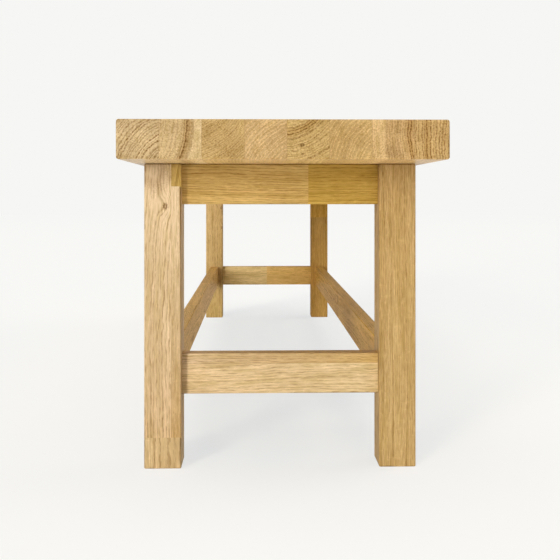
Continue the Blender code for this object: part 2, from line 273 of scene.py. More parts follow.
def mix_colours(tree, amount, first, second, blend="MIX"):
    """The first colour, blended with the second where the amount is 1."""
    return put(tree, "ShaderNodeMix", {0: amount, 6: first, 7: second},
               data_type="RGBA", blend_type=blend).outputs[2]


def coordinates(tree, kind="Object"):
    return put(tree, "ShaderNodeTexCoord").outputs[kind]


def new_material(name):
    material = bpy.data.materials.new(name)
    material.use_nodes = True
    return material, material.node_tree


def new_group(name, kind, inputs, outputs):
    """A node group with named sockets; each input is a name, a type and a value."""
    tree = bpy.data.node_groups.new(name, kind)
    for label, socket_type, value in inputs:
        socket = tree.interface.new_socket(label, in_out="INPUT", socket_type=socket_type)
        if value is not None:
            socket.default_value = value
    for label, socket_type in outputs:
        tree.interface.new_socket(label, in_out="OUTPUT", socket_type=socket_type)
    given = tree.nodes.new("NodeGroupInput").outputs
    result = tree.nodes.new("NodeGroupOutput").inputs
    return tree, given, result


def solid_oak_group():
    """Oak right through the board, so that its faces and end grain agree."""
    tree, given, result = new_group("Solid Oak", "ShaderNodeTree", [
        ("Log", "NodeSocketVector", None),
        ("Tone", "NodeSocketColor", None),
        ("Figure", "NodeSocketVector", None),
        ("Heavy", "NodeSocketFloat", NO_HEAVY_YEARS),
        ("Glue Low", "NodeSocketVector", (1, 1, 1)),
        ("Glue High", "NodeSocketVector", (1, 1, 1)),
        ("End Grain", "NodeSocketFloat", 1.0),
        ("Knot Push", "NodeSocketFloat", 0.0),
        ("Knot And Painted Shade", "NodeSocketFloat", 0.0),
        ("Pore Shade", "NodeSocketFloat", 0.7),
        ("Ray Shade", "NodeSocketFloat", 0.5),
        ("Streak Shade", "NodeSocketFloat", 0.5),
        ("Fleck Shade", "NodeSocketFloat", 0.5),
        ("Base Roughness", "NodeSocketFloat", 0.50),
    ], [
        ("Colour", "NodeSocketColor"),
        ("Roughness", "NodeSocketFloat"),
        ("Height", "NodeSocketFloat"),
    ])
    place = given["Log"]
    along = parts_of(tree, place)[0]
    ring_width, contrast, sapwood = parts_of(tree, given["Figure"])

    # The pith wanders along the log, and the rings are wavy round it.
    moved = place
    for scales, detail, reach in (
        ((1.8, 0, 0), 1.0, 0.022), ((5, 34, 34), 2.0, 0.0050), ((45, 150, 150), 2.0, 0.0026),
    ):
        field = noise(tree, stretched(tree, place, scales), detail, "Color")
        centred = vector_maths(tree, "SUBTRACT", field, (0.5, 0.5, 0.5))
        step = stretched(tree, centred, (0, reach, reach))
        moved = vector_maths(tree, "ADD", moved, step)
    _, across, up = parts_of(tree, moved)
    radius = vector_maths(tree, "LENGTH", vector_of(tree, 0.0, across, up))
    pushed = maths(tree, "ADD", radius, given["Knot Push"])

    # Rings of unlike width, each a band of wide pores and then dense wood.
    uneven = noise(tree, vector_of(tree, product(tree, pushed, 110.0), 0.0, 0.0))
    ring = maths(tree, "DIVIDE", pushed, ring_width)
    ring = maths(tree, "MULTIPLY_ADD", uneven, 3.0, ring)
    phase = maths(tree, "FRACT", ring)
    year = put(tree, "ShaderNodeTexWhiteNoise", {"W": maths(tree, "FLOOR", ring)},
               noise_dimensions="1D").outputs["Value"]
    early = product(tree, ramp(tree, phase, 0.0, 0.08), ramp(tree, phase, 0.60, 0.25))
    late = product(tree, ramp(tree, phase, 0.35, 0.9), ramp(tree, phase, 1.0, 0.95))

    # Pores are fine tubes along the grain, and rays thin sheets out from the pith.
    cells = put(tree, "ShaderNodeTexVoronoi", {
        "Vector": stretched(tree, moved, (85, 1900, 1900)), "Scale": 1.0})
    bore = maths(tree, "MULTIPLY_ADD", early, 0.30, 0.10)
    pores = ramp(tree, maths(tree, "SUBTRACT", bore, cells.outputs["Distance"]), 0.0, 0.14)
    turn = product(tree, maths(tree, "ARCTAN2", up, across), 0.06)
    fan = stretched(tree, vector_of(tree, along, turn, radius), (200, 1300, 70))
    rays = ramp(tree, noise(tree, fan, 1.0), 0.60, 0.72)
    grain = noise(tree, stretched(tree, moved, (62, 900, 900)), 3.0)
    patches = ramp(tree, noise(tree, stretched(tree, place, (11, 90, 90))), 0.40, 0.60)
    patchy = maths(tree, "MULTIPLY_ADD", patches, 0.7, 0.3)
    streaks = product(tree, ramp(tree, grain, 0.50, 0.64), patchy)
    glints = ramp(tree, grain, 0.48, 0.34)
    flecks = given["Fleck Shade"]
    clumps = noise(tree, stretched(tree, moved, (70, 430, 430)), 1.5)
    dots = ramp(tree, clumps, 0.42, 0.56)
    fibres = noise(tree, stretched(tree, moved, (14, 1500, 1500)))
    drift = noise(tree, stretched(tree, place, (2.6, 26, 26)))
    flame = noise(tree, stretched(tree, vector_of(tree, along, turn, pushed), (16, 110, 260)), 3.0)
    band = noise(tree, vector_of(tree, product(tree, pushed, 60.0), along, 3.0))

    nearest = None
    for side in ("Glue Low", "Glue High"):
        for distance in parts_of(tree, given[side]):
            nearest = distance if nearest is None else maths(tree, "MINIMUM", nearest, distance)
    glue = ramp(tree, nearest, 0.00030, 0.00008)

    # The rings fade in the sapwood and are boldest in the heavy years. Where a board's
    # contrast is below 0 they are pale.
    sap = ramp(tree, maths(tree, "SUBTRACT", pushed, sapwood), -0.0006, 0.0010)
    off = maths(tree, "DIVIDE", maths(tree, "SUBTRACT", pushed, given["Heavy"]), HEAVY_SPREAD)
    heavy = maths(tree, "EXPONENT", product(tree, off, off, -1.0))
    strong = product(tree, contrast, maths(tree, "MULTIPLY_ADD", sap, -0.75, 1.0))
    strong = maths(tree, "MAXIMUM", strong, heavy)
    strong = product(tree, strong, given["End Grain"])
    pale = product(tree, early, contrast, -1.0)
    rich = maths(tree, "MAXIMUM", maths(tree, "MULTIPLY_ADD", year, 0.70, 0.45), heavy)
    dotted = product(tree, maths(tree, "MULTIPLY_ADD", dots, 0.70, 0.60), rich, early)

    # Tints and where they show: the slow drift of tone, the years and their pores, the
    # flame of the grain, its fibres, flecks and rays, and then sapwood, knots with a patch of
    # painted shade, and glue.
    shades = (
        ((0.84, 0.80, 0.70), product(tree, ramp(tree, drift, 0.42, 0.72), 0.7)),
        ((1.12, 1.13, 1.13), ramp(tree, drift, 0.52, 0.28)),
        ((0.80, 0.75, 0.62), product(tree, ramp(tree, band, 0.50, 0.75), strong)),
        ((0.86, 0.80, 0.68), product(tree, heavy, given["End Grain"])),
        ((0.86, 0.82, 0.72), product(tree, late, year, strong)),
        ((0.44, 0.31, 0.16), product(tree, dotted, strong)),
        ((1.45, 1.50, 1.60), pale),
        ((0.88, 0.86, 0.76), ramp(tree, flame, 0.50, 0.66)),
        ((1.08, 1.08, 1.12), ramp(tree, flame, 0.48, 0.32)),
        ((0.90, 0.88, 0.82), fibres),
        ((1.10, 1.11, 1.12), glints),
        ((1.10, 1.11, 1.13), product(tree, ramp(tree, clumps, 0.48, 0.32), flecks)),
        ((0.86, 0.80, 0.68), product(tree, ramp(tree, clumps, 0.50, 0.66), flecks)),
        ((1.16, 1.18, 1.22), product(tree, rays, given["Ray Shade"])),
        ((0.70, 0.63, 0.50), product(tree, streaks, given["Streak Shade"])),
        ((0.40, 0.30, 0.20), product(tree, pores, given["Pore Shade"])),
        ((1.22, 1.28, 1.38), sap),
        ((0.34, 0.23, 0.11), given["Knot And Painted Shade"]),
        ((0.74, 0.66, 0.56), glue),
    )
    colour = given["Tone"]
    for tint, amount in shades:
        colour = mix_colours(tree, amount, colour, (*tint, 1), "MULTIPLY")
    tree.links.new(colour, result["Colour"])

    rough = maths(tree, "MULTIPLY_ADD", pores, 0.25, given["Base Roughness"])
    rough = maths(tree, "MULTIPLY_ADD", late, -0.05, rough)
    tree.links.new(rough, result["Roughness"])
    height = 1.0
    for part, depth in ((pores, -1.0), (early, -0.25), (fibres, 0.25), (glue, -0.8)):
        height = maths(tree, "MULTIPLY_ADD", part, depth, height)
    tree.links.new(height, result["Height"])
    return tree


def knot_and_shade_group():
    """A small knot: dark at its heart, with the grain swept round it.

    Made broad and faint, it also lays a patch of painted shade.
    """
    tree, given, result = new_group("Pin Knot And Painted Shade", "ShaderNodeTree", [
        ("Position", "NodeSocketVector", None),
        ("Centre", "NodeSocketVector", (0, 0, 0)),
        ("Radius", "NodeSocketFloat", 0.003),
        ("Stretch", "NodeSocketVector", (1, 1, 1)),
        ("Sweep", "NodeSocketFloat", 0.004),
        ("Darkness", "NodeSocketFloat", 1.0),
    ], [
        ("Push", "NodeSocketFloat"),
        ("Shade", "NodeSocketFloat"),
    ])
    offset = vector_maths(tree, "SUBTRACT", given["Position"], given["Centre"])
    offset = vector_maths(tree, "MULTIPLY", offset, given["Stretch"])
    share = maths(tree, "DIVIDE", vector_maths(tree, "LENGTH", offset), given["Radius"])
    fall = product(tree, share, share, -0.12)
    push = product(tree, maths(tree, "EXPONENT", fall), given["Sweep"])
    ragged = noise(tree, stretched(tree, given["Position"], (500, 500, 500)))
    edge = maths(tree, "MULTIPLY_ADD", ragged, 1.2, maths(tree, "SUBTRACT", share, 0.6))
    tree.links.new(push, result["Push"])
    rim = maths(tree, "MULTIPLY_ADD", ramp(tree, share, 0.15, 0.55), 0.5, 0.5)
    shade = product(tree, ramp(tree, edge, 1.2, 0.4), rim, given["Darkness"])
    tree.links.new(shade, result["Shade"])
    return tree


def oak_material(name, knots_and_shade=(), shades=BOARD_SHADES, shine=DULL_SHINE, by_face=None):
    """Oiled oak that reads its board's place in the log from the mesh.

    by_face is a function that gives the inputs that differ from face to face.
    """
    material, tree = new_material(name)
    inputs = dict(shades)
    for label, kind in (
        ("Log", "Vector"), ("Figure", "Vector"), ("Glue Low", "Vector"),
        ("Glue High", "Vector"), ("Tone", "Color"), ("Heavy", "Fac"),
    ):
        attribute = label.lower().replace(" ", "_")
        node = put(tree, "ShaderNodeAttribute", attribute_name=attribute)
        inputs[label] = node.outputs[kind]
    if knots_and_shade:
        position = coordinates(tree)
        inputs["Knot Push"] = inputs["Knot And Painted Shade"] = 0.0
        for centre, radius, stretch, sweep, darkness in knots_and_shade:
            knot = put(tree, "ShaderNodeGroup", {
                "Position": position, "Centre": centre, "Radius": radius,
                "Stretch": stretch, "Sweep": sweep, "Darkness": darkness,
            }, node_tree=knot_and_shade).outputs
            inputs["Knot Push"] = maths(tree, "ADD", inputs["Knot Push"], knot["Push"])
            inputs["Knot And Painted Shade"] = maths(tree, "MAXIMUM", inputs["Knot And Painted Shade"], knot["Shade"])
    if by_face is not None:
        inputs.update(by_face(tree))
    finish_oak(tree, inputs, shine)
    return material


def finish_oak(tree, inputs, shine=DULL_SHINE):
    """Join the oak's colour, roughness and pores to the material's shader."""
    oak = put(tree, "ShaderNodeGroup", inputs, node_tree=solid_oak).outputs
    bump = put(tree, "ShaderNodeBump", {
        "Strength": BUMP_STRENGTH, "Distance": PORE_DEPTH, "Height": oak["Height"]})
    shader = tree.nodes["Principled BSDF"].inputs
    shader["Specular IOR Level"].default_value = shine
    tree.links.new(oak["Colour"], shader["Base Color"])
    tree.links.new(oak["Roughness"], shader["Roughness"])
    tree.links.new(bump.outputs["Normal"], shader["Normal"])


solid_oak = solid_oak_group()
knot_and_shade = knot_and_shade_group()

# Each knot, and the patch of painted shade, gives its middle, radius and stretch, how far
# it sweeps the grain, and how dark it is.
leg_oak = oak_material("Oiled oak, legs", knots_and_shade=[
    ((0.760, -0.1555, 0.354), 0.0037, (1, 1, 0.7), 0.006, 0.9),
    # Not a knot: a broad, faint darkening at the top of the near left leg. It is painted shade
    # where the seat overhangs the leg, with some of the leg's own mottling.
    ((0.760, -0.1720, 0.400), 0.0260, (1, 1, 0.9), 0.004, 0.44),
    ((-0.710, -0.137, 0.332), 0.0040, (1, 1, 0.7), 0.003, 0.8),
    ((-0.710, -0.136, 0.272), 0.0030, (1, 1, 0.7), 0.003, 0.8),
])

# Each leg's boards: how far they reach from its left face and from the floor, the tone,
# the pith from the board's middle, and what else is particular to the board.
LEG_BOARDS = {
    "near_left": [
        ((0, 0.0365), (0.042, None), (215, 185, 143), (-0.075, 0.070),
         {"end_tone_and_shade": (228, 206, 172), "fingers": (True, False)}),
        ((0.0365, None), (0.042, 0.381), (197, 163, 113), (-0.02, 0.11),
         {"end_tone_and_shade": (232, 210, 176), "fingers": (True, True), "contrast": 0.2}),
        ((0.0365, None), (0.381, None), (198, 167, 99), (-0.05, -0.02),
         {"fingers": (True, False)}),
        ((0, 0.013), (0, 0.042), (207, 180, 136), (0.01, -0.09), {"fingers": (False, True)}),
        ((0.013, None), (0, 0.042), (211, 183, 138), (-0.09, 0.03), {"fingers": (False, True)}),
    ],
    "near_right": [
        ((0, 0.0185), (0, None), (199, 168, 115), (0.02, -0.12), {}),
        ((0.0185, None), (0, None), (205, 174, 120), (0.03, -0.10), {}),
    ],
    "far_left": [
        # Paler towards its top: partly its own wood, partly painted shade, darker near the floor
        # under the bench.
        ((0, None), (0, None), (191, 163, 106), (-0.07, 0.06), {"end_tone_and_shade": (224, 193, 140)}),
    ],
    "far_right": [
        ((0, None), (0, 0.303), (195, 155, 86), (0.06, 0.03), {"fingers": (False, True)}),
        ((0, None), (0.303, None), (212, 167, 80), (-0.03, 0.08), {"fingers": (True, False)}),
    ],
}
for corner, boards in LEG_BOARDS.items():
    leg_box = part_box("leg_" + corner)
    left_y, floor_z = leg_box[0].y, leg_box[0].z
    leg_shape = bmesh.new()
    for (from_y, to_y), (from_z, to_z), tone, pith, figure in boards:
        low = Vector((leg_box[0].x, left_y + from_y, floor_z + from_z))
        high = leg_box[1].copy()
        if to_y is not None:
            high.y = left_y + to_y
        if to_z is not None:
            high.z = floor_z + to_z
        saw_board(leg_shape, (low, high), leg_box, 2, tone, pith, **figure)
    leg_mesh = boards_mesh(corner + "_leg", leg_shape, leg_oak)
    add_piece(corner + "_leg", leg_mesh, ["leg_" + corner])

# Aprons and stretchers: flat oak rails with a stub tenon at each end, set flush with the
# middle of the legs. They are sawn from finger-jointed stock, and the near stretcher has
# a narrow strip glued along its top.
RAIL_EASE = 0.001
STRIP_HEIGHT = 0.014

rail_oak = oak_material("Oiled oak, rails", knots_and_shade=[
    ((-0.090, 0.148, 0.128), 0.0050, (0.5, 1, 1), 0.012, 0.9),
])


def rail_corners(along, *nodes):
    """A rail's two corners from leg face to leg face, without its tenons."""
    boxes = [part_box(node) for node in nodes]
    low = Vector([min(box[0][axis] for box in boxes) for axis in range(3)])
    high = Vector([max(box[1][axis] for box in boxes) for axis in range(3)])
    near_left_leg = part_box("leg_near_left")
    reach = near_left_leg[0].x if along == 0 else -near_left_leg[1].y
    low[along], high[along] = -reach, reach
    return low, high


def add_rail(name, along, nodes, boards):
    """A rail of one or more boards, set out by where each one ends.

    Each board gives its far end and its top, or None for the rail's own, and then
    its tone, its pith and what else is particular to it.
    """
    whole = rail_corners(along, *nodes)
    shape = bmesh.new()
    start, bottom = whole[0][along], whole[0].z
    for end, top, tone, pith, figure in boards:
        low, high = whole[0].copy(), whole[1].copy()
        low[along], low.z = start, bottom
        if end is not None:
            high[along] = end
        if top is not None:
            high.z = top
        fingers = (start > whole[0][along], end is not None)
        saw_board(shape, (low, high), whole, along, tone, pith, fingers=fingers,
                  across=1 - along, ease=RAIL_EASE, butted=along, **figure)
        start = high[along] if end is not None else whole[0][along]
        bottom = high.z if top is not None else whole[0].z
    add_piece(name, boards_mesh(name, shape, rail_oak), nodes)


apron_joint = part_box("end_apron_near_long")[1].y
strip_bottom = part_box("end_stretcher_near_upper")[1].z - STRIP_HEIGHT
stretcher_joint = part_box("end_stretcher_far_left")[1].y
add_rail("near_end_apron", 1, ["end_apron_near_long", "end_apron_near_short"], [
    (apron_joint, None, (206, 174, 109), (-0.060, 0.075), {"rings": 0.0026}),
    (None, None, (194, 161, 82), (-0.050, 0.095), {"rings": 0.0030}),
])
add_rail("near_end_stretcher", 1, ["end_stretcher_near_upper", "end_stretcher_near_lower"], [
    (None, strip_bottom, (221, 193, 150), (-0.070, 0.060),
     {"contrast": 0.3, "end_tone_and_shade": (230, 205, 160)}),
    # The strip darkens towards its right end: partly its wood, partly painted shade, as the light
    # from the left falls off.
    (None, None, (225, 198, 161), (-0.04, 0.08), {"end_tone_and_shade": (202, 168, 108)}),
])
add_rail("far_end_apron", 1, ["end_apron_far"], [
    (None, None, (205, 167, 102), (-0.06, -0.01), {}),
])
add_rail("far_end_stretcher", 1, ["end_stretcher_far_left", "end_stretcher_far_right"], [
    # The left board is paler wood, and painted paler still: painted light that makes up for the
    # shade that the left side stretcher throws on it.
    (stretcher_joint, None, (240, 215, 158), (-0.05, 0.03), {"contrast": 0.2}),
    (None, None, (227, 190, 120), (-0.07, -0.02), {"contrast": 0.2, "end_tone_and_shade": (205, 166, 96)}),
])
add_rail("left_side_apron", 0, ["side_apron_left"], [
    (-0.31, None, (206, 168, 104), (0.05, 0.01), {}),
    (0.36, None, (214, 178, 118), (0.06, -0.02), {}),
    (None, None, (200, 160, 94), (0.04, 0.05), {}),
])
add_rail("right_side_apron", 0, ["side_apron_right"], [
    (-0.12, None, (204, 166, 102), (-0.05, 0.02), {}),
    (None, None, (212, 175, 112), (-0.06, -0.01), {}),
])
# Both side stretchers are toned low in blue: partly their wood, partly painted warm shade.
add_rail("left_side_stretcher", 0, ["side_stretcher_left"], [
    (-0.22, None, (218, 176, 104), (0.06, 0.02), {}),
    (None, None, (224, 184, 112), (0.05, -0.015), {}),
])
add_rail("right_side_stretcher", 0, ["side_stretcher_right"], [
    (0.02, None, (211, 167, 85), (-0.05, 0.01), {}),
    (None, None, (219, 176, 94), (-0.055, 0.015), {}),
])

# Corner blocks and seat buttons: plain planed oak, left unoiled where nobody sees it.
# The blocks brace the corners inside the aprons, and each button's tongue rides in a
# slot of an apron, so that the seat can move across the bench with the seasons.
INNER_RINGS = 0.0022
INNER_CONTRAST = 0.45
INNER_TONES = ((214, 182, 134), (206, 172, 122), (220, 190, 144))
INNER_PITH = (0.05, -0.35)
END_BUTTON_REACH = 0.1


def planed_oak(name, turn, start, tone):
    """Oak on an object's own coordinates, its grain turned about the upright."""
    material, tree = new_material(name)
    place = put(tree, "ShaderNodeMapping", {
        "Vector": coordinates(tree), "Rotation": (0, 0, turn),
        "Location": (start, *INNER_PITH),
    })
    finish_oak(tree, {
        "Log": place.outputs["Vector"], "Tone": linear(*tone),
        "Figure": (INNER_RINGS, INNER_CONTRAST, NO_SAPWOOD),
    })
    return material


inner_nodes = sorted(
    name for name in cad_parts
    if name.startswith("corner_block") or name.rpartition("_")[0] == "seat_button"
)
for number, name in enumerate(inner_nodes):
    box_low, box_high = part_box(name)
    middle = (box_low + box_high) / 2
    if name.startswith("corner_block"):
        grain_turn = math.radians(45 if middle.x * middle.y > 0 else -45)
    else:
        grain_turn = 0 if abs(middle.y) < END_BUTTON_REACH else math.pi / 2
    tone = INNER_TONES[number % len(INNER_TONES)]
    finish = planed_oak(name + "_oak", grain_turn, number * LOG_STEP, tone)
    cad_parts[name].data.materials.clear()
    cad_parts[name].data.materials.append(finish)

# Screws: countersunk steel wood screws with a cross recess and a coat of yellow zinc.
# Eight pull the corner blocks against the aprons, and one through each of the ten
# buttons holds the seat down.
SCREW_SIDES = 32
SHANK_RADIUS = 0.0020
HEAD_RADIUS = 0.0040
HEAD_HEIGHT = 0.0025
HEAD_RIM = 0.0004
POINT_LENGTH = 0.004
TIP_SHARE = 0.08
RECESS_REACH = 0.0046
RECESS_WIDTH = 0.0009
RECESS_DEPTH = 0.0016
SHARP_ANGLE = math.radians(35)
ZINC_TONES = (linear(206, 190, 140), linear(188, 182, 160))


def named(tree, name, kind="FLOAT_VECTOR"):
    node = put(tree, "GeometryNodeInputNamedAttribute", {"Name": name}, data_type=kind)
    return node.outputs[0]


def screws_tree():
    """A countersunk screw at each point of a mesh, turned as the point says."""
    tree, given, result = new_group("Countersunk Screws", "GeometryNodeTree", [
        ("Places", "NodeSocketGeometry", None),
        ("Length", "NodeSocketFloat", 0.03),
        ("Shank Radius", "NodeSocketFloat", SHANK_RADIUS),
        ("Head Radius", "NodeSocketFloat", HEAD_RADIUS),
        ("Head Height", "NodeSocketFloat", HEAD_HEIGHT),
        ("Head Rim", "NodeSocketFloat", HEAD_RIM),
        ("Point Length", "NodeSocketFloat", POINT_LENGTH),
        ("Recess Reach", "NodeSocketFloat", RECESS_REACH),
        ("Recess Width", "NodeSocketFloat", RECESS_WIDTH),
        ("Recess Depth", "NodeSocketFloat", RECESS_DEPTH),
        ("Sides", "NodeSocketInt", SCREW_SIDES),
        ("Finish", "NodeSocketMaterial", None),
    ], [("Screws", "NodeSocketGeometry")])

    # The profile, from the face of the head at zero to the point.
    neck = maths(tree, "SUBTRACT", given["Length"], given["Point Length"])
    tip = product(tree, given["Shank Radius"], TIP_SHARE)
    heights = (0.0, given["Head Rim"], given["Head Height"], neck, given["Length"])
    radii = (given["Head Radius"], given["Head Radius"], given["Shank Radius"],
             given["Shank Radius"], tip)
    index = put(tree, "GeometryNodeInputIndex").outputs[0]
    chosen = []
    for values in (heights, radii):
        switch = put(tree, "GeometryNodeIndexSwitch", data_type="FLOAT")
        while len(switch.index_switch_items) < len(values):
            switch.index_switch_items.new()
        for place, value in enumerate((index, *values)):
            feed(tree, switch.inputs[place], value)
        chosen.append(switch.outputs[0])
    line = put(tree, "GeometryNodeMeshLine", {"Count": len(heights)}).outputs[0]
    line = put(tree, "GeometryNodeSetPosition", {
        "Geometry": line, "Position": vector_of(tree, 0.0, 0.0, chosen[0])}).outputs[0]
    core = put(tree, "GeometryNodeMeshToCurve", {0: line}).outputs[0]
    circle = put(tree, "GeometryNodeCurvePrimitiveCircle", {
        "Resolution": given["Sides"], "Radius": 1.0}).outputs[0]
    screw = put(tree, "GeometryNodeCurveToMesh", {
        "Curve": core, "Profile Curve": circle, "Scale": chosen[1], "Fill Caps": True,
    }).outputs[0]

    # The cross recess is cut by two thin bars, which lie half outside the head.
    cut = put(tree, "GeometryNodeMeshBoolean", {"Mesh 1": screw},
              operation="DIFFERENCE", solver="EXACT")
    bar_height = product(tree, given["Recess Depth"], 2.0)
    size = vector_of(tree, given["Recess Reach"], given["Recess Width"], bar_height)
    for angle in (0.0, math.pi / 2):
        bar = put(tree, "GeometryNodeMeshCube", {"Size": size}).outputs[0]
        bar = put(tree, "GeometryNodeTransform", {
            "Geometry": bar, "Rotation": (0.0, 0.0, angle)}).outputs[0]
        tree.links.new(bar, cut.inputs["Mesh 2"])
    bend = put(tree, "GeometryNodeInputMeshEdgeAngle").outputs[0]
    shaded = put(tree, "GeometryNodeSetShadeSmooth", {
        "Geometry": cut.outputs["Mesh"], "Shade Smooth": True}, domain="FACE").outputs[0]
    is_sharp = put(tree, "FunctionNodeCompare", {0: bend, 1: SHARP_ANGLE},
                   data_type="FLOAT", operation="GREATER_THAN").outputs[0]
    shaded = put(tree, "GeometryNodeSetShadeSmooth", {
        "Geometry": shaded, "Selection": is_sharp, "Shade Smooth": False},
        domain="EDGE").outputs[0]

    turn = put(tree, "FunctionNodeEulerToRotation", {0: named(tree, "turn")}).outputs[0]
    copies = put(tree, "GeometryNodeInstanceOnPoints", {
        "Points": given["Places"], "Instance": shaded, "Rotation": turn}).outputs[0]
    solid = put(tree, "GeometryNodeRealizeInstances", {0: copies}).outputs[0]
    done = put(tree, "GeometryNodeSetMaterial", {
        "Geometry": solid, "Material": given["Finish"]}).outputs[0]
    tree.links.new(done, result["Screws"])
    return tree


def made_by(tree, name, source, values):
    """The plain mesh that a Geometry Nodes tree makes from a source mesh."""
    piece = new_object(name, source)
    modifier = piece.modifiers.new(tree.name, "NODES")
    modifier.node_group = tree
    for item in tree.interface.items_tree:
        if item.item_type == "SOCKET" and item.in_out == "INPUT" and item.name in values:
            modifier[item.identifier] = values[item.name]
    graph = bpy.context.evaluated_depsgraph_get()
    mesh = bpy.data.meshes.new_from_object(
        piece.evaluated_get(graph), preserve_all_data_layers=True, depsgraph=graph)
    bpy.data.objects.remove(piece)
    mesh.name = name
    return mesh


def zinc_material():
    """Yellow zinc plate: metal with a faint drift of colour and sheen."""
    material, tree = new_material("Yellow zinc plate")
    shader = tree.nodes["Principled BSDF"].inputs
    shader["Metallic"].default_value = 1.0
    cloud = noise(tree, stretched(tree, coordinates(tree), (260, 260, 260)), 3.0)
    tree.links.new(mix_colours(tree, cloud, *ZINC_TONES), shader["Base Color"])
    tree.links.new(maths(tree, "MULTIPLY_ADD", cloud, 0.25, 0.25), shader["Roughness"])
    return material


def add_screws(name, nodes):
    """One object of these screws, all of one length, with their heads nearer the origin."""
    points, turns = [], []
    for node in nodes:
        low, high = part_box(node)
        length = max(high - low)
        axis = list(high - low).index(length)
        head = (low + high) / 2
        sign = 1 if head[axis] > 0 else -1
        head[axis] = low[axis] if sign > 0 else high[axis]
        points.append(head)
        heading = Vector([sign * (index == axis) for index in range(3)])
        turns.append(heading.to_track_quat("Z", "Y").to_euler())
    places = bpy.data.meshes.new(name + "_places")
    places.from_pydata(points, [], [])
    turn = places.attributes.new("turn", "FLOAT_VECTOR", "POINT")
    for index, value in enumerate(turns):
        turn.data[index].vector = value
    mesh = made_by(screw_tree, name, places, {"Length": length, "Finish": zinc})
    add_piece(name, mesh, nodes)


screw_tree = screws_tree()
zinc = zinc_material()
screw_nodes = sorted(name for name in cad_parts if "_screw_" in name)
for piece, start in (("corner_block_screws", "corner"), ("seat_button_screws", "seat")):
    add_screws(piece, [name for name in screw_nodes if name.startswith(start)])

# Seat: a thick top of eight oak staves, glued edge to edge along the whole length,
# planed flush, sawn off square at the ends and eased all round. The last stave is the
# narrower one. It lies on the legs and aprons, held by the buttons.
SEAT_EASE = 0.003
SEAT_SHADES = {"Streak Shade": 0.6, "Fleck Shade": 1.0}
SEAT_SHINE = 0.15
SEAT_ROUGHNESS = 0.36
TOP_DULLER = 0.34
LONG_FACE_RINGS = 0.4
SEAT_LOG_START = 40.0
FLAT = 0.9999

# Each stave's tone, the pith from the stave's middle across and up, the ring width, how
# strongly the rings show, and how far from the pith the sapwood starts and the years with
# the boldest rings lie.
STAVES = (
    ((205, 179, 136), (0.0560, -0.0470), 0.0036, 0.75, NO_SAPWOOD, NO_HEAVY_YEARS),
    ((202, 174, 128), (-0.090, 0.0205), 0.0044, 0.25, 0.1110, 0.1035),
    ((199, 168, 113), (-0.060, 0.070), 0.0026, 0.4, NO_SAPWOOD, NO_HEAVY_YEARS),
    ((193, 161, 112), (0.075, -0.080), 0.0040, -0.65, NO_SAPWOOD, NO_HEAVY_YEARS),
    ((205, 175, 118), (-0.0235, 0.053), 0.0034, 0.5, NO_SAPWOOD, 0.0443),
    ((188, 156, 103), (0.067, -0.044), 0.0042, -0.65, NO_SAPWOOD, NO_HEAVY_YEARS),
    ((200, 166, 115), (0.130, 0.010), 0.0032, 0.35, 0.1426, 0.1125),
    ((202, 169, 115), (0.140, 0.000), 0.0036, 0.8, NO_SAPWOOD, 0.1514),
)


def spread_out(tree, share, half, ease, steps):
    """A cube's evenly spaced lines, drawn towards the arrises at both ends.

    share runs from -0.5 to 0.5 over twice the steps and one more.
    """
    last = maths(tree, "MULTIPLY_ADD", steps, 2.0, 1.0)
    line = product(tree, maths(tree, "ADD", share, 0.5), last)
    line = maths(tree, "ROUND", line)
    gap = maths(tree, "DIVIDE", ease, steps)
    from_low = maths(tree, "SUBTRACT", product(tree, line, gap), half)
    left = maths(tree, "SUBTRACT", last, line)
    from_high = maths(tree, "SUBTRACT", half, product(tree, left, gap))
    is_high = maths(tree, "GREATER_THAN", line, maths(tree, "ADD", steps, 0.5))
    span = maths(tree, "SUBTRACT", from_high, from_low)
    return maths(tree, "MULTIPLY_ADD", span, is_high, from_low)


def largest_part(tree, vector):
    """The greatest of a vector's parts, whatever their signs."""
    x, y, z = parts_of(tree, vector_maths(tree, "ABSOLUTE", vector))
    return maths(tree, "MAXIMUM", maths(tree, "MAXIMUM", x, y), z)


def store(tree, geometry, name, value, kind="FLOAT_VECTOR"):
    node = put(tree, "GeometryNodeStoreNamedAttribute", {"Geometry": geometry, "Name": name},
               data_type=kind)
    tree.links.new(value, node.inputs["Value"])
    return node.outputs[0]


